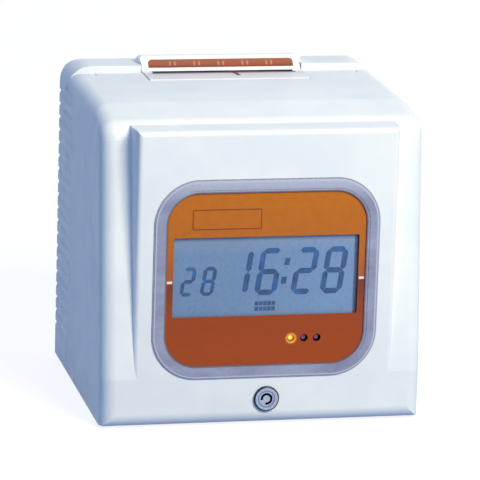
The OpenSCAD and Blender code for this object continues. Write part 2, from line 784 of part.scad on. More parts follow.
module print_carriage() {
    cw = carriage_w / 2;
    color("dimgray") difference() {
        union() {
            block(-cw, cw, rod_y - 6, rod_y + 8, print_zc - rod_dz - 6, print_zc + rod_dz + 6);
            rod_x(7, -cw, cw, screw_y, print_zc);
            block(-cw, cw, screw_y, rod_y, print_zc - 7, print_zc + 7);
        }
        for (dz = [-rod_dz, rod_dz]) rod_x(rod_r + run_fit, -cw - 1, cw + 1, rod_y, print_zc + dz);
        rod_x(screw_r + run_fit, -cw - 1, cw + 1, screw_y, print_zc);
    }
}

// Dot-matrix head: finned body and a narrow nose that faces the card.
module print_head() {
    y0 = rod_y + 8;
    y1 = slot_y0 - chute_t - 1.15;
    color("darkslategray") union() {
        rod_y(12, 0, y0, y0 + 2.5, print_zc);
        rod_y(9, 0, y0 + 2.5, y0 + 4.5, print_zc);
        rod_y(12, 0, y0 + 4.5, y0 + 7, print_zc);
        rod_y(9, 0, y0 + 7, y1 - 5, print_zc);
        translate([0, y1 - 5, print_zc]) rotate([-90, 0, 0]) cylinder(r1 = 9, r2 = 6, h = 3);
        block(-2.5, 2.5, y1 - 3, y1, print_zc - 5.5, print_zc + 5.5);
    }
}

// Underside and height of the ribbon cassette, and the axis of its knob.
cassette_z = print_zc + rod_dz + 10;
cassette_h = 16;
knob_x = cheek_x - 22;
knob_y = rod_y - 6;
knob_r = 8;
spindle_r = 2.5;

// Ribbon cassette above the carriage, with an arm on each side just outside the carriage's reach.
module ribbon_cassette() {
    arm_x = carriage_w / 2 + carriage_travel + 7;
    color("dimgray") difference() {
        union() {
            block(-cheek_x, cheek_x, rod_y - 22, rod_y + 12, cassette_z, cassette_z + cassette_h);
            for (m = [0, 1]) mirror([m, 0, 0])
                block(arm_x, cheek_x - 1, rod_y + 4, slot_y0 - chute_t - 0.8, print_zc - 6,
                    cassette_z + 2);
        }
        translate([knob_x, knob_y, cassette_z + cassette_h - 6]) cylinder(r = knob_r + 1, h = 10);
        translate([knob_x, knob_y, cassette_z + 3]) cylinder(r = spindle_r + run_fit, h = 20);
    }
}

module ribbon_knob() {
    flutes = 12;
    color("lightgray") translate([knob_x, knob_y, cassette_z]) union() {
        translate([0, 0, 3.5]) cylinder(r = spindle_r, h = 14);
        translate([0, 0, cassette_h - 6 + 0.3]) difference() {
            cylinder(r = knob_r, h = 8);
            for (k = [0 : flutes - 1]) rotate([0, 0, 360 / flutes * k]) translate([knob_r + 0.6, 0, -1])
                cylinder(r = 1.2, h = 12);
        }
    }
}

module ribbon() {
    color("black") block(-cheek_x + 2, cheek_x - 2, slot_y0 - chute_t - 0.75, slot_y0 - chute_t - 0.5,
        print_zc - 5, print_zc + 5);
}

module card_stop() {
    color("lightgray") difference() {
        union() {
            block(-20, 20, slot_y0 + 0.5, slot_y1 - 0.5, stop_zc, stop_zc + 5);
            block(-3, 3, slot_y0 + 2, lift_y, stop_zc, stop_zc + 5);
            translate([0, lift_y, stop_zc]) cylinder(r = lift_r + 2.2, h = stop_h);
        }
        translate([0, lift_y, stop_zc - 1]) cylinder(r = lift_r + run_fit, h = stop_h + 2);
    }
}

module lift_screw() {
    color("silver") translate([0, lift_y, floor_z + 8]) cylinder(r = lift_r, h = bearing_z + 4 - floor_z - 8);
}

module lift_motor() {
    color("slategray") difference() {
        translate([0, lift_y, floor_z + e]) union() {
            cylinder(r = 10, h = 11);
            translate([0, 0, 11 - e]) cylinder(r = 5, h = 1.5);
        }
        translate([0, lift_y, floor_z + 7.5]) cylinder(r = lift_r + 0.3, h = 10);
    }
}

// Display board, its screw posts and the clear height above it on the bracket.
disp_w = lcd_w + 1.2;
disp_z0 = base_z + 34;
disp_h = 92;
disp_post_r = 3;
disp_post_x = disp_w / 2 - 4;
disp_post_z = [disp_z0 + 4, disp_z0 + disp_h - 4];

// Upright bracket that carries the display behind the window.
module display_bracket() {
    w = disp_w + 16;
    zt = disp_z0 + disp_h + 2;
    foot_d = 18;
    cam_room = cam_l + 5;
    color("silver") difference() {
        union() {
            block(-w / 2, w / 2, bracket_y, bracket_y + sheet_t, floor_z, zt);
            block(-w / 2, w / 2, bracket_y, bracket_y + foot_d, floor_z, floor_z + sheet_t);
            for (x = [-disp_post_x, disp_post_x], z = disp_post_z)
                rod_y(disp_post_r, x, board_y + board_t, bracket_y + e, z);
        }
        // Clearance for the lock and its cam.
        block(lock_x - cam_room, lock_x + cam_room, fy, bracket_y + 10, floor_z - 1, lock_zc + cam_l + 3);
        block(lock_x - cam_room, lock_x + cam_room, fy, bracket_y + foot_d + 7, floor_z - 1, floor_z + 8);
        for (x = [-disp_post_x, disp_post_x], z = disp_post_z) rod_y(1.2, x, board_y, board_y + 4.4, z);
    }
}

module display_board() {
    color("seagreen") difference() {
        block(-disp_w / 2, disp_w / 2, board_y, board_y + board_t, disp_z0, disp_z0 + disp_h);
        for (x = [-disp_post_x, disp_post_x], z = disp_post_z) rod_y(1.3, x, board_y - 1, board_y + 4, z);
    }
}

module lcd_frame() {
    color("whitesmoke") difference() {
        block(-lcd_w / 2 - 1, lcd_w / 2 + 1, glass_y + glass_t, board_y,
            lcd_zc - lcd_h / 2 - 1, lcd_zc + lcd_h / 2 + 1);
        block(-lcd_w / 2 + 3, lcd_w / 2 - 3, glass_y - 1, board_y - 1.5,
            lcd_zc - lcd_h / 2 + 3, lcd_zc + lcd_h / 2 - 3);
    }
}

module lcd_glass() {
    color("lightsteelblue") block(-lcd_w / 2 - 0.6, lcd_w / 2 + 0.6, glass_y, glass_y + glass_t,
        lcd_zc - lcd_h / 2 - 0.6, lcd_zc + lcd_h / 2 + 0.6);
}

module status_lamps() {
    y0 = pocket_y + 1.2;
    color("gold") for (k = [-1 : 1]) translate([led_x + k * led_pitch, 0, led_zc]) union() {
        rod_y(led_r, 0, y0 + led_r * 0.5, board_y, 0);
        translate([0, y0 + led_r * 0.5 + e, 0]) rotate([90, 0, 0])
            cylinder(r1 = led_r, r2 = led_r * 0.6, h = led_r * 0.5);
        rod_y(led_r + 0.4, 0, board_y - 1, board_y, 0);
    }
}

// Setting keys and their switches, in a row under the display.
key_pitch = 14;
key_x = [-40, -40 + key_pitch, -40 + 2 * key_pitch];
key_z = disp_z0 + 10;
switch_w = 7;
switch_h = switch_w / 2;
key_r = 3;
key_stem_r = 1.5;

module key_switches() {
    color("dimgray") for (x = key_x) difference() {
        translate([x, board_y - switch_h / 2, key_z]) cube([switch_w, switch_h, switch_w], center = true);
        rod_y(key_stem_r + run_fit, x, board_y - 10, board_y - 0.4, key_z);
    }
}

module set_key(x) {
    y1 = board_y - switch_h - key_travel - 0.2;
    color("lightgray") union() {
        rod_y(key_r, x, y1 - 2.2, y1, key_z);
        rod_y(key_stem_r, x, y1 - 1, board_y - 0.4 - key_travel - 0.2, key_z);
    }
}

module set_key_1() { set_key(key_x[0]); }
module set_key_2() { set_key(key_x[1]); }
module set_key_3() { set_key(key_x[2]); }

module main_board() {
    color("seagreen") difference() {
        block(-main_w, main_w, main_y, main_y + board_t, main_z0, main_z0 + main_h);
        for (x = [-post_x, post_x], z = post_z) rod_y(1.3, x, main_y - 1, main_y + 4, z);
    }
}

module board_components() {
    color("dimgray") {
        // Processor, memory, driver, relay and two capacitors.
        block(-main_w + 8, -main_w + 32, main_y - 3, main_y, main_z0 + 38, main_z0 + 52);
        block(-main_w + 10, -main_w + 24, main_y - 2.4, main_y, main_z0 + 62, main_z0 + 76);
        block(main_w - 36, main_w - 12, main_y - 4, main_y, main_z0 + 22, main_z0 + 34);
        block(main_w - 32, main_w - 16, main_y - 7, main_y, main_z0 + 58, main_z0 + 72);
        for (x = [10, 22]) rod_y(4, x - main_w, main_y - 7, main_y, main_z0 + 20);
    }
}

module board_screws() {
    color("silver") {
        for (x = [-post_x, post_x], z = post_z) union() {
            rod_y(2.4, x, main_y - 1.6, main_y, z);
            rod_y(1.15, x, main_y - e, main_y + 5, z);
        }
        for (x = [-disp_post_x, disp_post_x], z = disp_post_z) union() {
            rod_y(2.4, x, board_y - 1.4, board_y, z);
            rod_y(1.15, x, board_y - e, board_y + 4, z);
        }
    }
}

module transformer() {
    x0 = cheek_x + sheet_t + 3;
    x1 = half_w - wall - 4;
    y0 = seam_y - 20;
    color("gray") union() {
        block(x0, x1, y0, y0 + 44, floor_z + 6, floor_z + 34);
        block(x0 + 4, x1 - 4, y0 - 5, y0 + 49, floor_z + 12, floor_z + 28);
        block(x0 + 3, x1 - 3, y0 - 9, y0 + 53, floor_z, floor_z + 1.6);
        block(x0 + 3, x1 - 3, y0, y0 + 44, floor_z + 1.5, floor_z + 6.1);
    }
}

module backup_battery() {
    x0 = -half_w + wall + 4;
    r = (-cheek_x - sheet_t - 3.2 - x0) / 4;
    y0 = seam_y - 20;
    color("darkgreen") union() {
        for (k = [0, 1]) rod_y(r, x0 + r + k * (2 * r - 0.2), y0, y0 + 50, floor_z + 2 + r);
        block(x0 + r, x0 + 3 * r, y0 + 1, y0 + 49, floor_z + 1, floor_z + 1 + r);
        block(x0, x0 + 4 * r, y0 - 2, y0 + 52, floor_z, floor_z + 2.2);
    }
}

module buzzer() {
    color("black") difference() {
        rod_y(buzzer_r, 0, main_y - buzzer_r, main_y, buzzer_z);
        rod_y(1, 0, main_y - buzzer_r - 1, main_y - buzzer_r / 2, buzzer_z);
    }
}

module hinge_pins() {
    color("silver") for (m = [0, 1]) mirror([m, 0, 0])
        rod_x(pin_r, lug_x - 16, lug_x + lug_notch + pin_in - 0.3, hinge_y, hinge_z);
}

// Upright lip that the cam hooks behind, folded up from a foot on the base plate.
module catch_tab() {
    y1 = lock_back + 2.2 - 0.4;
    color("silver") union() {
        block(lock_x - 9, lock_x + 9, y1 - sheet_t, y1, floor_z, lock_zc - 5.2);
        block(lock_x - 9, lock_x + 9, y1 - 8, y1, floor_z, floor_z + sheet_t);
    }
}

base_plate();
rubber_feet();
rear_case();
chassis();
throat();
throat_label();
index_mark();
chute_front();
chute_rear();
platen();
guide_rods();
carriage_motor();
lift_motor();
ribbon_cassette();
ribbon();
display_bracket();
display_board();
lcd_frame();
lcd_glass();
status_lamps();
key_switches();
main_board();
board_components();
transformer();
backup_battery();
buzzer();
power_inlet();
inlet_pins();
hinge_pins();
catch_tab();
base_screws();
board_screws();
front_cover();
window_bezel();
window_label();
window_lens();
lock_barrel();
lock_nut();
lock_core();
lock_cam();
cam_screw();
print_carriage();
print_head();
carriage_screw();
card_stop();
lift_screw();
ribbon_knob();
set_key_1();
set_key_2();
set_key_3();
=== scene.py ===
"""Looks of the punch-card time clock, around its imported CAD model."""
import json
import math

import bmesh
import bpy
from mathutils import Matrix, Vector


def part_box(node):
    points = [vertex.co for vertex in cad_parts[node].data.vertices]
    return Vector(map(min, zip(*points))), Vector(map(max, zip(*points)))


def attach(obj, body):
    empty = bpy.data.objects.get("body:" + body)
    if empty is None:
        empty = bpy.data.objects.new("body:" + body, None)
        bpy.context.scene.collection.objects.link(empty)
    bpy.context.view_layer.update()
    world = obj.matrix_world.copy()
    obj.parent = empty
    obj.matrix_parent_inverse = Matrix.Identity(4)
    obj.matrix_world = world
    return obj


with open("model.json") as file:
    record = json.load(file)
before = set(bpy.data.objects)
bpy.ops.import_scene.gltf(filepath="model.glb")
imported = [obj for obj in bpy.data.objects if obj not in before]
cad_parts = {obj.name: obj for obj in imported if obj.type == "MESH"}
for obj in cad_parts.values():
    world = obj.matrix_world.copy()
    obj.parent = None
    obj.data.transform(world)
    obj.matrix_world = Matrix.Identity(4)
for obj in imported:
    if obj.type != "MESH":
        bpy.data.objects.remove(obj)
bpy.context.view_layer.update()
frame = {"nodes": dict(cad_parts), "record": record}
nodes = frame["nodes"]
MM = 0.001


# Camera: left of the clock and above it, with a slight roll.
CAM_AZ = math.radians(12.89)
CAM_EL = math.radians(14.34)
CAM_ROLL = math.radians(1.82)
CAM_DIST = 2.2
CAM_LENS = 263.7
CAM_SENSOR = 36.0
CAM_TARGET = Vector((0.0013, -0.005, 0.0967))


def make_camera():
    """Places the camera on its arm round the target, and rolls it."""
    level = math.cos(CAM_EL)
    back = Vector((-math.sin(CAM_AZ) * level, -math.cos(CAM_AZ) * level, math.sin(CAM_EL)))
    right = Vector((math.cos(CAM_AZ), -math.sin(CAM_AZ), 0.0))
    up = back.cross(right)
    right2 = math.cos(CAM_ROLL) * right + math.sin(CAM_ROLL) * up
    up2 = -math.sin(CAM_ROLL) * right + math.cos(CAM_ROLL) * up
    data = bpy.data.cameras.new("camera")
    data.lens = CAM_LENS
    data.sensor_width = CAM_SENSOR
    data.sensor_fit = "HORIZONTAL"
    data.clip_start = 0.05
    data.clip_end = 50.0
    cam = bpy.data.objects.new("camera", data)
    rot = Matrix((right2, up2, back)).transposed().to_4x4()
    cam.matrix_world = Matrix.Translation(CAM_TARGET + back * CAM_DIST) @ rot
    bpy.context.scene.collection.objects.link(cam)
    bpy.context.scene.camera = cam


make_camera()


# Lights: a warm key from the front right, a far one for the back, and a cool surround for the shaded sides.
KEY_COLOUR = (1.0, 0.90, 0.64)
REAR_COLOUR = (1.0, 0.90, 0.76)
SKY_COLOUR = (0.38, 0.61, 1.0, 1.0)
SKY_LEVEL = 0.51
WHITE = (1.0, 1.0, 1.0, 1.0)
BLACK = (0.0, 0.0, 0.0, 1.0)


def area_light(name, place, target, size, watts, colour, seen=True):
    """A square lamp that faces a target. One that isn't seen leaves no mirror image of itself."""
    data = bpy.data.lights.new(name, "AREA")
    data.shape = "SQUARE"
    data.size = size
    data.energy = watts
    data.color = colour
    lamp = bpy.data.objects.new(name, data)
    lamp.location = place
    lamp.rotation_euler = (Vector(target) - Vector(place)).to_track_quat("-Z", "Y").to_euler()
    lamp.visible_glossy = seen
    lamp.visible_camera = seen
    bpy.context.scene.collection.objects.link(lamp)


area_light("key", place=(0.45, -1.08, 1.0), target=(0, 0, 0.12), size=0.6, watts=21.8, colour=KEY_COLOUR)
area_light("rear", place=(0.9, 3.5, 0.5), target=(0, 0, 0.1), size=1.4, watts=58.0, colour=REAR_COLOUR,
           seen=False)


def seen_directly(tree):
    """1 for camera, mirror and glass rays, 0 for those that carry light to a matt surface."""
    paths = tree.nodes.new("ShaderNodeLightPath")
    total = None
    for ray in ("Is Camera Ray", "Is Glossy Ray", "Is Transmission Ray"):
        if total is None:
            total = paths.outputs[ray]
            continue
        both = tree.nodes.new("ShaderNodeMath")
        both.operation = "MAXIMUM"
        tree.links.new(total, both.inputs[0])
        tree.links.new(paths.outputs[ray], both.inputs[1])
        total = both.outputs[0]
    return total


def make_world():
    """A white background, behind a cool sky that lights the matt surfaces."""
    world = bpy.data.worlds.new("studio")
    bpy.context.scene.world = world
    world.use_nodes = True
    tree = world.node_tree
    tree.nodes.clear()
    lit = tree.nodes.new("ShaderNodeBackground")
    lit.inputs["Color"].default_value = SKY_COLOUR
    lit.inputs["Strength"].default_value = SKY_LEVEL
    seen = tree.nodes.new("ShaderNodeBackground")
    seen.inputs["Color"].default_value = WHITE
    seen.inputs["Strength"].default_value = 1.0
    mix = tree.nodes.new("ShaderNodeMixShader")
    out = tree.nodes.new("ShaderNodeOutputWorld")
    tree.links.new(seen_directly(tree), mix.inputs[0])
    tree.links.new(lit.outputs[0], mix.inputs[1])
    tree.links.new(seen.outputs[0], mix.inputs[2])
    tree.links.new(mix.outputs[0], out.inputs[0])


make_world()
bpy.context.scene.view_settings.view_transform = "Standard"


def srgb(red, green, blue):
    """Screen colour, 0 to 255, as a linear colour."""
    def linear(value):
        v = value / 255
        return v / 12.92 if v <= 0.04045 else ((v + 0.055) / 1.055) ** 2.4
    return (linear(red), linear(green), linear(blue), 1.0)


LAMP_LIGHT = srgb(255, 186, 96)
# Usual lowest and highest value of a noise
NOISE_LOW = 0.3
NOISE_HIGH = 0.7
NOISE_ROUGHNESS = 0.55
EDGE_SAMPLES = 6


class Finish:
    """A procedural material. Distances in its masks are millimetres."""

    def __init__(self, name, rough=0.5, metal=0.0, specular=0.5, coat=0.0):
        self.mat = bpy.data.materials.new(name)
        self.mat.use_nodes = True
        self.tree = self.mat.node_tree
        self.shader = self.tree.nodes["Principled BSDF"]
        self.shader.inputs["Roughness"].default_value = rough
        self.shader.inputs["Metallic"].default_value = metal
        self.shader.inputs["Specular IOR Level"].default_value = specular
        self.shader.inputs["Coat Weight"].default_value = coat
        coord = self.tree.nodes.new("ShaderNodeTexCoord")
        scaled = self.tree.nodes.new("ShaderNodeVectorMath")
        scaled.operation = "SCALE"
        scaled.inputs["Scale"].default_value = 1 / MM
        self.link(coord.outputs["Object"], scaled.inputs[0])
        self.place = scaled.outputs[0]
        split = self.tree.nodes.new("ShaderNodeSeparateXYZ")
        self.link(self.place, split.inputs[0])
        self.x, self.y, self.z = split.outputs

    def link(self, source, target):
        self.tree.links.new(source, target)

    def feed(self, target, value):
        """Sets an input to a number or a colour, or links it to another node's output."""
        if isinstance(value, (int, float, tuple)):
            target.default_value = value
        else:
            self.link(value, target)

    def calc(self, operation, a, b=0.0):
        node = self.tree.nodes.new("ShaderNodeMath")
        node.operation = operation
        self.feed(node.inputs[0], a)
        self.feed(node.inputs[1], b)
        return node.outputs[0]

    def noise(self, grain, detail, stretch=(1.0, 1.0, 1.0)):
        """Noise whose grains measure about the given millimetres."""
        mapping = self.tree.nodes.new("ShaderNodeMapping")
        mapping.inputs["Scale"].default_value = tuple(s / grain for s in stretch)
        self.link(self.place, mapping.inputs["Vector"])
        node = self.tree.nodes.new("ShaderNodeTexNoise")
        node.inputs["Scale"].default_value = 1.0
        node.inputs["Detail"].default_value = detail
        node.inputs["Roughness"].default_value = NOISE_ROUGHNESS
        self.link(mapping.outputs[0], node.inputs["Vector"])
        return node.outputs["Fac"]

    def cells(self, size, output="Color"):
        """Crystal-like cells whose sides measure about the given millimetres."""
        mapping = self.tree.nodes.new("ShaderNodeMapping")
        mapping.inputs["Scale"].default_value = (1 / size, 1 / size, 1 / size)
        self.link(self.place, mapping.inputs["Vector"])
        node = self.tree.nodes.new("ShaderNodeTexVoronoi")
        node.inputs["Scale"].default_value = 1.0
        self.link(mapping.outputs[0], node.inputs["Vector"])
        return node.outputs[output]

    def ramp(self, value, *stops):
        """Colours that follow a value. Each stop is a value and a colour."""
        node = self.tree.nodes.new("ShaderNodeValToRGB")
        parts = node.color_ramp.elements
        while len(parts) < len(stops):
            parts.new(0.5)
        for part, (at, colour) in zip(parts, stops):
            part.position = at
            part.color = colour
        self.link(value, node.inputs[0])
        return node.outputs[0]

    def span(self, value, low, high, to_low=0.0, to_high=1.0):
        """Carries a value from one range over to another, and stops at its ends."""
        node = self.tree.nodes.new("ShaderNodeMapRange")
        self.link(value, node.inputs["Value"])
        for key, number in (("From Min", low), ("From Max", high), ("To Min", to_low), ("To Max", to_high)):
            node.inputs[key].default_value = number
        return node.outputs[0]

    def mix(self, factor, first, second, blend="MIX"):
        node = self.tree.nodes.new("ShaderNodeMix")
        node.data_type = "RGBA"
        node.blend_type = blend
        self.feed(node.inputs[0], factor)
        self.feed(node.inputs[6], first)
        self.feed(node.inputs[7], second)
        return node.outputs[2]

    def below(self, value, limit, soft=0.08):
        """1 where the value is under the limit, with a soft edge."""
        return self.span(value, limit + soft, limit - soft)

    def above(self, value, limit, soft=0.08):
        """1 where the value is over the limit, with a soft edge."""
        return self.span(value, limit - soft, limit + soft)

    def band(self, value, middle_value, half, soft):
        """1 within half a width of a value, with soft edges."""
        away = self.calc("ABSOLUTE", self.calc("SUBTRACT", value, middle_value))
        return self.below(away, half, soft)

    def both(self, first, second):
        """1 where both masks are 1."""
        return self.calc("MULTIPLY", first, second)

    def frame_distance(self, cx, cz, width, height, corner):
        """Signed distance to a rounded rectangle in the XZ plane."""
        sides = []
        for axis, centre, size in ((self.x, cx, width), (self.z, cz, height)):
            away = self.calc("ABSOLUTE", self.calc("SUBTRACT", axis, centre))
            sides.append(self.calc("SUBTRACT", away, size / 2 - corner))
        outside = [self.calc("MAXIMUM", s, 0.0) for s in sides]
        squares = [self.calc("MULTIPLY", s, s) for s in outside]
        reach = self.calc("SQRT", self.calc("ADD", *squares))
        inside = self.calc("MINIMUM", self.calc("MAXIMUM", *sides), 0.0)
        return self.calc("SUBTRACT", self.calc("ADD", reach, inside), corner)

    def axis_distance(self, cx, cz):
        """Distance from an axis along Y."""
        parts = []
        for axis, centre in ((self.x, cx), (self.z, cz)):
            away = self.calc("SUBTRACT", axis, centre)
            parts.append(self.calc("MULTIPLY", away, away))
        return self.calc("SQRT", self.calc("ADD", *parts))

    def colour(self, value):
        self.feed(self.shader.inputs["Base Color"], value)

    def roughness(self, noise, low, high):
        """Roughness that follows a noise from a low to a high value."""
        self.link(self.span(noise, NOISE_LOW, NOISE_HIGH, low, high), self.shader.inputs["Roughness"])

    def glow(self, mask, strength):
        """Lamp light where the mask is 1."""
        self.link(self.mix(mask, BLACK, LAMP_LIGHT), self.shader.inputs["Emission Color"])
        self.shader.inputs["Emission Strength"].default_value = strength

    def bump(self, height, depth, strength, edge=0.0):
        """Raises the surface by the height signal. Depth and the worn edges' radius are millimetres."""
        node = self.tree.nodes.new("ShaderNodeBump")
        if edge:
            soft = self.tree.nodes.new("ShaderNodeBevel")
            soft.samples = EDGE_SAMPLES
            soft.inputs["Radius"].default_value = edge * MM
            self.link(soft.outputs[0], node.inputs["Normal"])
        node.inputs["Strength"].default_value = strength
        node.inputs["Distance"].default_value = depth * MM
        self.link(height, node.inputs["Height"])
        self.link(node.outputs[0], self.shader.inputs["Normal"])


def middle(node):
    """Centre and size of a node's box, in millimetres."""
    low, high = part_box(node)
    return (low + high) / 2 / MM, (high - low) / MM


def first_lamp():
    """Place of the lit lamp's front, in millimetres. It is the left one of a row of round lamps."""
    centre, size = middle("status_lamps")
    return Vector((centre.x - size.x / 2 + size.z / 2, centre.y - size.y / 2, centre.z))


# Moulded and painted finishes


def moulded(name, light, dark, rough=0.5, grain=0.9, edge=0.6):
    """Injection-moulded plastic: faint mottling, a spark-eroded grain and uneven gloss."""
    f = Finish(name, specular=0.45)
    cloud = f.noise(34.0, 2.0)
    fine = f.noise(grain, 2.0)
    base = f.ramp(cloud, (0.36, dark), (0.66, light))
    f.colour(f.mix(f.span(fine, 0.4, 0.7, 0.0, 0.10), base, dark))
    f.roughness(f.noise(11.0, 4.0), rough - 0.06, rough + 0.07)
    f.bump(fine, 0.02, 0.5, edge)
    return f.mat


def case_plastic():
    """Near-white plastic of the cover and the rear case."""
    return moulded("case_plastic", srgb(240, 244, 248), srgb(232, 238, 244))


# Card slot in the throat: its back, front and half width, and the height of its lip
SLOT_BACK = 57.0
SLOT_FRONT = 51.0
SLOT_HALF = 45.6
SLOT_LIP = 192.2
# Lip in front of the slot: how far its greyer painted shade reaches, and where the darker painted shadow
# next to the slot ends and where it is full
LIP_SHADE_REACH = 12.0
LIP_SHADE_END = 4.0
LIP_SHADE_FULL = 2.4


def throat_plastic():
    """White insert. The slot's walls have painted shade, and its front lip has a greyer painted shade that
    deepens towards the slot, with a darker painted shadow next to the slot.
    """
    f = Finish("throat_plastic", specular=0.5)
    across = f.calc("ABSOLUTE", f.x)
    fine = f.noise(0.8, 2.0)
    base = f.ramp(f.noise(22.0, 3.0), (0.35, srgb(250, 250, 251)), (0.7, srgb(254, 254, 254)))
    # Painted shade: the walls inside the slot are painted dark, where shade falls in the slot.
    inside = f.both(f.below(f.y, SLOT_BACK), f.above(f.y, SLOT_FRONT))
    inside = f.both(inside, f.below(f.z, SLOT_LIP, 0.15))
    inside = f.both(inside, f.below(across, SLOT_HALF, 0.05))
    lip = f.both(f.below(f.y, SLOT_FRONT + 0.4, 0.3), f.below(f.z, SLOT_LIP + 0.5, 0.1))
    # Painted shade: the lip is greyer, more so towards the slot.
    lip = f.both(lip, f.span(f.y, SLOT_FRONT - LIP_SHADE_REACH, SLOT_FRONT, 0.55, 1.0))
    base = f.mix(lip, base, srgb(222, 217, 229))
    # Painted shadow on the lip next to the slot.
    lip_shadow = f.both(lip, f.span(f.y, SLOT_FRONT - LIP_SHADE_END, SLOT_FRONT - LIP_SHADE_FULL))
    lip_shadow = f.both(lip_shadow, f.below(across, SLOT_HALF + 0.9, 0.6))
    base = f.mix(lip_shadow, base, srgb(64, 58, 88))
    # Painted shade inside the slot.
    f.colour(f.mix(inside, base, srgb(30, 28, 52)))
    f.roughness(f.noise(9.0, 3.0), 0.30, 0.42)
    f.bump(fine, 0.015, 0.5, 0.4)
    return f.mat


RING_CORNER = 28.0
# Painted light and shade round the window ring: a painted highlight on its bevel, painted shade along its
# outer edge and a painted shadow along its inner edge. Each line: inset from its outer edge, half width,
# soft edge and colour
RING_PAINTED_LINES = (
    # painted highlight on the bevel
    (1.25, 0.42, 0.3, srgb(186, 192, 214)),
    # painted shade along the outer edge
    (0.25, 0.35, 0.2, srgb(146, 152, 178)),
    # painted shadow along the inner edge
    (7.75, 0.4, 0.25, srgb(104, 84, 96)),
)


def window_ring():
    """Violet-grey ring with soft streaks, a painted highlight on its bevel and along its top, painted shade
    along its outer edge and a painted shadow along its inner edge.
    """
    f = Finish("window_ring", rough=0.28, specular=0.6, coat=0.4)
    centre, size = middle("window_bezel")
    edge = f.frame_distance(centre.x, centre.z, size.x, size.z, RING_CORNER)
    streaks = f.noise(26.0, 3.0, (1.0, 1.0, 2.2))
    body = f.ramp(streaks, (0.32, srgb(122, 126, 158)), (0.52, srgb(136, 142, 174)),
                  (0.72, srgb(152, 160, 190)))
    top_z = centre.z + size.z / 2
    # Painted highlight: the ring is paler towards its top.
    body = f.mix(f.span(f.z, top_z - 14.0, top_z - 2.0), body, srgb(172, 178, 202))
    for inset, half, soft, shade in RING_PAINTED_LINES:
        body = f.mix(f.band(edge, -inset, half, soft), body, shade)
    f.colour(body)
    f.roughness(f.noise(4.0, 3.0), 0.2, 0.34)
    f.bump(streaks, 0.05, 0.3)
    return f.mat


# Label: the heights of its lower end, its change of colour and its upper end
LABEL_LOW = 39.0
LABEL_SPLIT = 92.0
LABEL_HIGH = 147.0
LABEL_CORNER = 19.8
# Ticks: how far from the middle they start, and half their thickness
TICK_START = 57.9
TICK_HALF = 0.75
# Outlined box on the label: its middle and its sides
BOX_X = -25.0
BOX_Z = 130.5
BOX_WIDTH = 42.0
BOX_HEIGHT = 12.0
# First lamp's hole, and the end of the painted lamp light round it
LAMP_HOLE = 2.4
LAMP_GLOW_REACH = 3.9


def label_print():
    """Printed label: light orange above two white ticks, dark below, with an outlined box, painted shade
    along its edge and painted lamp light round the lit lamp's hole.
    """
    f = Finish("label_print", rough=0.34, specular=0.25)
    centre, size = middle("window_label")
    grain = f.noise(5.0, 4.0)
    top = f.ramp(f.span(f.z, LABEL_SPLIT, LABEL_HIGH), (0.0, srgb(172, 92, 48)),
                 (0.35, srgb(186, 104, 34)), (1.0, srgb(194, 110, 24)))
    low = f.ramp(f.span(f.z, LABEL_LOW, LABEL_SPLIT), (0.0, srgb(164, 70, 20)), (0.55, srgb(158, 67, 24)),
                 (1.0, srgb(122, 56, 38)))
    upper = f.span(f.z, LABEL_SPLIT - 0.6, LABEL_SPLIT + 0.6)
    base = f.mix(upper, low, top)
    base = f.mix(f.span(grain, 0.4, 0.75, 0.0, 0.16), base, srgb(120, 58, 24))
    box = f.frame_distance(BOX_X, BOX_Z, BOX_WIDTH, BOX_HEIGHT, corner=0.6)
    base = f.mix(f.band(box, 0.0, 0.36, 0.14), base, srgb(130, 64, 30))
    outward = f.above(f.calc("ABSOLUTE", f.x), TICK_START, 0.05)
    tick = f.both(f.band(f.z, LABEL_SPLIT, TICK_HALF, 0.12), outward)
    base = f.mix(tick, base, srgb(246, 236, 236))
    rim = f.frame_distance(centre.x, centre.z, size.x, size.z, LABEL_CORNER)
    # Painted shade: a brown line along the label's edge, where it meets the ring.
    base = f.mix(f.band(rim, 0.0, 0.5, 0.3), base, srgb(140, 78, 62))
    lamp = first_lamp()
    # Painted lamp light: the label is paler round the lit lamp's hole.
    ring = f.span(f.axis_distance(lamp.x, lamp.z), LAMP_GLOW_REACH, LAMP_HOLE)
    f.colour(f.mix(ring, base, srgb(246, 178, 70)))
    f.roughness(grain, 0.28, 0.42)
    f.bump(f.noise(0.6, 2.0), 0.006, 0.4)
    return f.mat


# Marks on the strip: half a mark's width and height, its distance from the middle of its pair, how
# strongly it shows, and the length of the strip's bare ends
PRINT_HALF_X = 0.55
PRINT_HALF_Z = 1.1
PRINT_PLACE = 1.6
PRINT_STRENGTH = 0.4
STRIP_END = 9.0


def strip_print():
    """Printed strip over the slot, with small light marks in pairs."""
    f = Finish("strip_print", rough=0.4, specular=0.4)
    centre, size = middle("throat_label")
    height = f.span(f.z, centre.z - size.z / 2, centre.z + size.z / 2)
    base = f.ramp(height, (0.0, srgb(104, 48, 36)), (0.45, srgb(156, 84, 66)), (1.0, srgb(150, 96, 62)))
    base = f.mix(f.span(f.noise(7.0, 3.0), 0.4, 0.7, 0.0, 0.45), base, srgb(168, 72, 44))
    pitch = size.x / 6
    along = f.calc("PINGPONG", f.calc("ADD", f.x, pitch), pitch / 2)
    mark = f.both(f.band(along, PRINT_PLACE, PRINT_HALF_X, 0.2), f.band(f.z, centre.z, PRINT_HALF_Z, 0.25))
    mark = f.both(mark, f.below(f.calc("ABSOLUTE", f.x), size.x / 2 - STRIP_END, 0.2))
    f.colour(f.mix(f.calc("MULTIPLY", mark, PRINT_STRENGTH), base, srgb(232, 178, 158)))
    f.bump(f.noise(0.6, 2.0), 0.006, 0.4)
    return f.mat


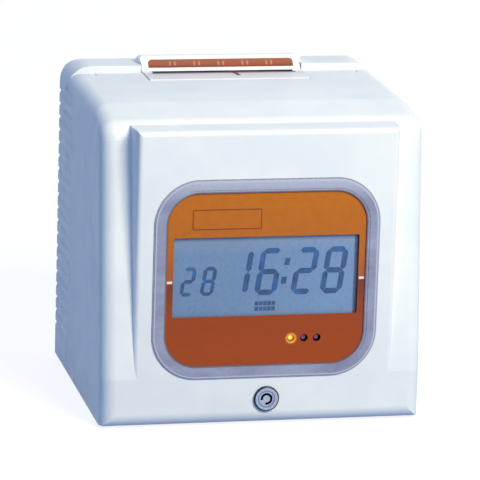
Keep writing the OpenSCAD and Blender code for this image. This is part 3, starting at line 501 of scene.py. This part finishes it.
def lcd_panel():
    """Blue-grey display: a faint shade across, a paler top that is painted light, and a dark line at the
    right end that is a painted shadow.
    """
    f = Finish("lcd_panel", rough=0.3, specular=0.5)
    centre, size = middle("lcd_glass")
    half = size.x / 2
    top_z = centre.z + size.z / 2
    across = f.ramp(f.span(f.x, -half, half), (0.0, srgb(98, 134, 176)), (0.5, srgb(104, 141, 184)),
                    (1.0, srgb(112, 150, 198)))
    cloud = f.span(f.noise(16.0, 2.0), 0.35, 0.7, 0.0, 0.28)
    base = f.mix(cloud, across, srgb(108, 124, 178))
    # Painted light: the display is paler towards its top.
    base = f.mix(f.span(f.z, top_z - 12.0, top_z - 4.0, 0.0, 0.5), base, srgb(134, 156, 186))
    # Painted shadow: a dark line at the display's right end, where the window's edge shades it.
    f.colour(f.mix(f.span(f.x, half - 3.2, half - 2.2), base, srgb(44, 58, 104)))
    f.roughness(f.noise(3.0, 2.0), 0.24, 0.36)
    f.bump(f.noise(0.5, 1.0), 0.005, 0.3)
    return f.mat


def lcd_ink():
    """The display's dark segments."""
    f = Finish("lcd_ink", rough=0.35, specular=0.3)
    f.colour(f.ramp(f.noise(7.0, 2.0), (0.35, srgb(0, 60, 112)), (0.7, srgb(6, 92, 164))))
    f.bump(f.noise(0.5, 1.0), 0.004, 0.2)
    return f.mat


def clear_lens():
    """Clear plastic, almost without colour, with a faintly uneven gloss."""
    f = Finish("clear_lens", rough=0.06, specular=0.5)
    f.shader.inputs["Alpha"].default_value = 0.05
    f.shader.inputs["IOR"].default_value = 1.49
    f.colour(f.ramp(f.noise(40.0, 2.0), (0.3, srgb(170, 182, 204)), (0.7, srgb(196, 206, 224))))
    f.roughness(f.noise(9.0, 4.0), 0.04, 0.12)
    return f.mat


# How far the lit lamp's colour reaches to the right of its middle
LIT_REACH = 2.15


def lamp_finish():
    """Three lamps: the first is lit amber, the others are dark."""
    f = Finish("lamp_finish", rough=0.22, specular=0.6, coat=0.5)
    lit = f.below(f.x, first_lamp().x + LIT_REACH, 0.2)
    dark = f.ramp(f.noise(1.4, 2.0), (0.35, srgb(92, 22, 54)), (0.7, srgb(128, 46, 140)))
    glow = f.ramp(f.noise(1.6, 2.0), (0.35, srgb(250, 176, 66)), (0.7, srgb(255, 204, 104)))
    f.colour(f.mix(lit, dark, glow))
    f.glow(lit, 0.3)
    f.bump(f.noise(0.5, 1.0), 0.006, 0.3)
    return f.mat


def red_mark():
    """Dark red index mark."""
    f = Finish("red_mark", rough=0.45)
    f.colour(f.ramp(f.noise(2.0, 3.0), (0.3, srgb(62, 10, 34)), (0.7, srgb(88, 18, 44))))
    f.bump(f.noise(0.4, 1.0), 0.005, 0.3)
    return f.mat


# Metals and inner finishes


def metal(name, light, dark, rough, streak=(1.0, 1.0, 1.0), grain=1.2, depth=0.01):
    """Rolled, drawn or cast metal: streaks along the work, and rough patches."""
    f = Finish(name, metal=1.0)
    marks = f.noise(grain, 5.0, streak)
    f.colour(f.ramp(f.mix(0.5, marks, f.noise(18.0, 3.0)), (0.34, dark), (0.68, light)))
    f.roughness(marks, rough - 0.08, rough + 0.1)
    f.bump(marks, depth, 0.5)
    return f.mat


def zinc():
    """Zinc-plated sheet: pale crystals with a faint blue and yellow cast."""
    f = Finish("zinc", metal=1.0)
    cells = f.cells(3.5, output="Distance")
    tint = f.ramp(f.noise(14.0, 3.0), (0.3, srgb(178, 184, 196)), (0.55, srgb(196, 198, 200)),
                  (0.8, srgb(204, 198, 180)))
    f.colour(f.mix(f.span(cells, 0.2, 0.9, 0.0, 0.22), tint, srgb(150, 154, 162)))
    f.roughness(f.noise(2.4, 4.0), 0.34, 0.52)
    f.bump(cells, 0.01, 0.3)
    return f.mat


# Lock face: radius of its ring and of its outer bevel, and radius and depth of its key groove
LOCK_RING = 5.1
LOCK_BEVEL = 6.95
GROOVE_RADIUS = 4.2
GROOVE_DEPTH = 0.35


def lock_metal():
    """Lock face: satin silver with a darker ring, and painted shade on the outer bevel and in the key
    groove.
    """
    f = Finish("lock_metal", metal=0.75, rough=0.3)
    centre, size = middle("lock_core")
    radius = f.axis_distance(centre.x, centre.z)
    turned = f.noise(1.1, 3.0)
    face = f.ramp(turned, (0.3, srgb(138, 152, 184)), (0.7, srgb(180, 192, 216)))
    face = f.mix(f.band(radius, LOCK_RING, 0.32, 0.2), face, srgb(98, 112, 148))
    # Painted shade on the outer bevel.
    face = f.mix(f.above(radius, LOCK_BEVEL, 0.22), face, srgb(24, 36, 66))
    deep_y = centre.y - size.y / 2 + GROOVE_DEPTH
    # Painted shade in the key groove.
    groove = f.both(f.above(f.y, deep_y, 0.1), f.below(radius, GROOVE_RADIUS, 0.1))
    f.colour(f.mix(groove, face, srgb(16, 26, 58)))
    f.roughness(turned, 0.24, 0.4)
    f.bump(turned, 0.008, 0.4)
    return f.mat


# Board: spacing of its upright and level copper runs and of its solder points
RUN_X = 1.9
RUN_Z = 3.1
POINT_X = 2.54
POINT_Z = 5.08
# Glow on the board round the lit lamp: where it ends and where it is full
BOARD_GLOW_END = 8.0
BOARD_GLOW_FULL = 4.0


def circuit_board():
    """Green solder mask with copper runs and rows of solder points, and painted lamp light: it glows beside
    the first lamp.
    """
    f = Finish("circuit_board", rough=0.3, specular=0.5)
    mask = f.ramp(f.noise(9.0, 3.0), (0.3, srgb(20, 84, 50)), (0.7, srgb(34, 104, 62)))
    shifted = f.calc("ADD", f.x, f.calc("MULTIPLY", f.cells(13.0), 4.0))
    run_x = f.below(f.calc("PINGPONG", shifted, RUN_X), 0.45, 0.12)
    run_z = f.below(f.calc("PINGPONG", f.z, RUN_Z), 0.35, 0.12)
    patch = f.span(f.cells(22.0), 0.45, 0.55)
    runs = f.mix(patch, run_x, run_z)
    base = f.mix(runs, mask, srgb(58, 132, 74))
    dots = f.both(f.below(f.calc("PINGPONG", f.x, POINT_X), 0.5, 0.1),
                  f.below(f.calc("PINGPONG", f.z, POINT_Z), 0.5, 0.1))
    f.colour(f.mix(dots, base, srgb(196, 196, 188)))
    # Painted lamp light: the board glows round the lit lamp, where the lamp's light would fall on it.
    lamp = first_lamp()
    board_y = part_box("status_lamps")[1].y / MM
    behind = f.calc("ABSOLUTE", f.calc("SUBTRACT", f.y, board_y))
    away = f.calc("ADD", f.axis_distance(lamp.x, lamp.z), behind)
    f.glow(f.span(away, BOARD_GLOW_END, BOARD_GLOW_FULL), 0.35)
    f.bump(runs, 0.03, 0.4)
    return f.mat


def rubber(name, light, dark):
    """Dull rubber with a fine grain."""
    f = Finish(name, rough=0.7, specular=0.3)
    fine = f.noise(0.7, 4.0)
    f.colour(f.ramp(f.noise(6.0, 4.0), (0.3, dark), (0.7, light)))
    f.roughness(fine, 0.6, 0.8)
    f.bump(fine, 0.03, 0.6)
    return f.mat


def ribbon_weave():
    """Inked nylon: a fine crossed weave."""
    f = Finish("ribbon_weave", rough=0.75, specular=0.25)
    thread = 0.25
    warp = f.calc("PINGPONG", f.x, thread)
    weft = f.calc("PINGPONG", f.z, thread)
    weave = f.calc("ADD", warp, weft)
    f.colour(f.ramp(f.span(weave, 0.0, 2 * thread), (0.2, srgb(14, 13, 20)), (0.8, srgb(44, 40, 58))))
    f.bump(weave, 0.05, 0.6)
    return f.mat


def transformer_iron():
    """Stacked iron sheets with dark joints."""
    f = Finish("transformer_iron", metal=0.4)
    sheet = 0.5
    sheets = f.calc("PINGPONG", f.x, sheet)
    iron = f.ramp(f.noise(3.0, 4.0), (0.3, srgb(72, 76, 84)), (0.7, srgb(112, 116, 124)))
    f.colour(f.mix(f.below(sheets, 0.12, 0.08), iron, srgb(36, 38, 44)))
    f.roughness(f.noise(2.0, 3.0), 0.42, 0.6)
    f.bump(sheets, 0.12, 0.6)
    return f.mat


def battery_wrap():
    """Green shrink wrap with a pale band."""
    f = Finish("battery_wrap", rough=0.32, specular=0.5)
    centre, size = middle("backup_battery")
    band_y = centre.y - size.y / 2 + 9.0
    band = f.band(f.y, band_y, half=2.5, soft=0.15)
    wrap = f.ramp(f.noise(8.0, 3.0), (0.3, srgb(24, 92, 62)), (0.7, srgb(36, 120, 80)))
    f.colour(f.mix(band, wrap, srgb(226, 226, 216)))
    f.bump(f.noise(5.0, 2.0), 0.06, 0.4)
    return f.mat


SLOT_FINISH = {
    "case_plastic": case_plastic(),
    "throat_plastic": throat_plastic(),
    "pale_plastic": moulded("pale_plastic", srgb(206, 208, 208), srgb(188, 190, 192), 0.45, 0.7),
    "black_plastic": moulded("black_plastic", srgb(52, 53, 58), srgb(34, 35, 40), 0.48, 0.7),
    "silver_bezel": window_ring(),
    "orange_label": label_print(),
    "red_mark": red_mark(),
    "clear_lens": clear_lens(),
    "lcd_panel": lcd_panel(),
    "amber_lamp": lamp_finish(),
    "green_board": circuit_board(),
    "plated_steel": zinc(),
    "bright_steel": metal("bright_steel", srgb(206, 208, 212), srgb(164, 168, 176), 0.26, (8.0, 1.0, 1.0)),
    "lock_chrome": lock_metal(),
    "motor_metal": metal("motor_metal", srgb(132, 136, 144), srgb(84, 88, 98), 0.4, grain=0.9, depth=0.03),
    "brass_pins": metal("brass_pins", srgb(222, 188, 108), srgb(178, 140, 70), 0.26, (1.0, 6.0, 1.0)),
    "battery_wrap": battery_wrap(),
    "ink_fabric": ribbon_weave(),
    "foot_rubber": rubber("foot_rubber", srgb(58, 58, 62), srgb(38, 38, 42)),
}
NODE_FINISH = {"throat_label": strip_print(), "transformer": transformer_iron()}


def dress_nodes():
    """Gives every CAD node the finish of its slot, or its own."""
    for part in frame["record"]["subparts"]:
        name = part["node"]
        finish = NODE_FINISH.get(name, SLOT_FINISH[part["material_slot"]])
        data = nodes[name].data
        if not data.materials:
            data.materials.append(finish)
        for k in range(len(data.materials)):
            data.materials[k] = finish


dress_nodes()


# Light in front of the lit lamp: its power, and its radius and distance in millimetres
GLOW_WATTS = 0.0002
GLOW_RADIUS = 0.5
GLOW_AHEAD = 1.2


def lamp_glow():
    """A tiny light just in front of the lit lamp, which lights the hole that it shines through."""
    data = bpy.data.lights.new("lamp_glow", "POINT")
    data.energy = GLOW_WATTS
    data.color = LAMP_LIGHT[:3]
    data.shadow_soft_size = GLOW_RADIUS * MM
    glow = bpy.data.objects.new("lamp_glow", data)
    glow.location = (first_lamp() - Vector((0.0, GLOW_AHEAD, 0.0))) * MM
    glow.visible_camera = False
    glow.visible_glossy = False
    bpy.context.scene.collection.objects.link(glow)


lamp_glow()


def new_piece(name, mesh, body, finish):
    """A new object that rides on a CAD body."""
    piece = bpy.data.objects.new(name, mesh)
    bpy.context.scene.collection.objects.link(piece)
    mesh.materials.append(finish)
    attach(piece, body)


def plates(name, outlines, y0, y1):
    """A mesh of thin plates standing in the XZ plane, each from its outline in millimetres."""
    bm = bmesh.new()
    for outline in outlines:
        front = [bm.verts.new((x * MM, y0 * MM, z * MM)) for x, z in outline]
        back = [bm.verts.new((x * MM, y1 * MM, z * MM)) for x, z in outline]
        bm.faces.new(front)
        bm.faces.new(list(reversed(back)))
        for a in range(len(outline)):
            b = (a + 1) % len(outline)
            bm.faces.new((front[b], front[a], back[a], back[b]))
    bmesh.ops.recalc_face_normals(bm, faces=bm.faces)
    mesh = bpy.data.meshes.new(name)
    bm.to_mesh(mesh)
    bm.free()
    return mesh


# Display: slanted seven-segment figures just in front of the glass, in millimetres
SLANT = 0.146
SEGMENTS = {"1": "bc", "2": "abged", "6": "afgedc", "8": "abcdefg"}
INK_THICKNESS = 0.12
INK_GAP = 0.02
# Each figure with the left end of its foot
TIME_FIGURES = (("1", -24.9), ("6", -6.8), ("2", 15.7), ("8", 33.9))
DATE_FIGURES = (("2", -53.0), ("8", -40.4))
# Lower left corners and sides of the colon's two dots
COLON_DOTS = ((11.6, 100.5), (9.8, 88.8))
DOT_WIDTH = 3.2
DOT_HEIGHT = 4.4
# Two rows of small marks under the figures
MARK_ROWS = (72.2, 75.6)
MARKS_IN_ROW = 5
MARKS_START = -6.0
MARK_PITCH = 2.6
MARK_WIDTH = 2.2
MARK_HEIGHT = 2.6
MARK_LEAN = 0.3


def segment_bars(width, height, stroke):
    """Six-sided outlines of the seven segments of one upright figure."""
    half = stroke / 2
    gap = stroke * 0.04
    mid = height / 2

    def level(z):
        x0, x1 = half + gap, width - half - gap
        return [(x0, z), (x0 + half, z + half), (x1 - half, z + half), (x1, z), (x1 - half, z - half),
                (x0 + half, z - half)]

    def upright(x, z0, z1):
        z0, z1 = z0 + gap, z1 - gap
        return [(x, z0), (x + half, z0 + half), (x + half, z1 - half), (x, z1), (x - half, z1 - half),
                (x - half, z0 + half)]

    low, high = half, height - half
    left, right = half, width - half
    return {"a": level(high), "g": level(mid), "d": level(low), "f": upright(left, mid, high),
            "b": upright(right, mid, high), "e": upright(left, low, mid), "c": upright(right, low, mid)}


def figure(char, x, z, width, height, stroke):
    """Outlines of one slanted figure, whose foot starts at x and z."""
    bars = segment_bars(width, height, stroke)
    return [[(x + u + v * SLANT, z + v) for u, v in bars[key]] for key in SEGMENTS[char]]


def slanted_bar(x, z, width, height, lean):
    """Outline of a bar whose upper end stands to the right of its foot by the lean."""
    return [(x, z), (x + width, z), (x + width + lean, z + height), (x + lean, z + height)]


INK = lcd_ink()
INK_Y1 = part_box("lcd_glass")[0].y / MM - INK_GAP
INK_Y0 = INK_Y1 - INK_THICKNESS


def display_part(name, outlines):
    """Adds one group of the display's segments."""
    new_piece(name, plates(name, outlines, INK_Y0, INK_Y1), "clock", INK)


def display_figures():
    """Time, date, colon and small marks."""
    time = []
    for char, x in TIME_FIGURES:
        time += figure(char, x, z=82.0, width=13.8, height=29.4, stroke=3.4)
    display_part("display_time", time)
    date = []
    for char, x in DATE_FIGURES:
        date += figure(char, x, z=82.5, width=8.3, height=18.1, stroke=2.3)
    display_part("display_date", date)
    dots = [slanted_bar(x, z, DOT_WIDTH, DOT_HEIGHT, DOT_HEIGHT * SLANT) for x, z in COLON_DOTS]
    display_part("display_colon", dots)
    marks = []
    for row in MARK_ROWS:
        for k in range(MARKS_IN_ROW):
            x = MARKS_START + MARK_PITCH * k
            marks.append(slanted_bar(x, row, MARK_WIDTH, MARK_HEIGHT, MARK_LEAN))
    display_part("display_marks", marks)


display_figures()


# Floor: its own light in the views, and half its side in metres
FLOOR_GLOW = 0.85
FLOOR_HALF = 4.0


def floor_finish():
    """Plain floor: white in the views with a soft shadow, and bluer in the light that it throws back."""
    f = Finish("floor", rough=0.8, specular=0.0)
    cloud = f.noise(60.0, 3.0)
    shown = f.ramp(cloud, (0.3, srgb(146, 147, 148)), (0.7, srgb(150, 150, 151)))
    thrown = f.ramp(cloud, (0.3, srgb(98, 128, 178)), (0.7, srgb(104, 134, 184)))
    seen = seen_directly(f.tree)
    f.colour(f.mix(seen, thrown, shown))
    glow = f.tree.nodes.new("ShaderNodeEmission")
    glow.inputs["Color"].default_value = WHITE
    f.link(f.calc("MULTIPLY", seen, FLOOR_GLOW), glow.inputs["Strength"])
    added = f.tree.nodes.new("ShaderNodeAddShader")
    f.link(f.shader.outputs[0], added.inputs[0])
    f.link(glow.outputs[0], added.inputs[1])
    f.link(added.outputs[0], f.tree.nodes["Material Output"].inputs["Surface"])
    return f.mat


def make_floor():
    """A square floor under the feet."""
    half = FLOOR_HALF
    corners = [(-half, -half, 0), (half, -half, 0), (half, half, 0), (-half, half, 0)]
    mesh = bpy.data.meshes.new("floor")
    mesh.from_pydata(corners, [], [(0, 1, 2, 3)])
    mesh.materials.append(floor_finish())
    floor = bpy.data.objects.new("floor", mesh)
    bpy.context.scene.collection.objects.link(floor)


make_floor()
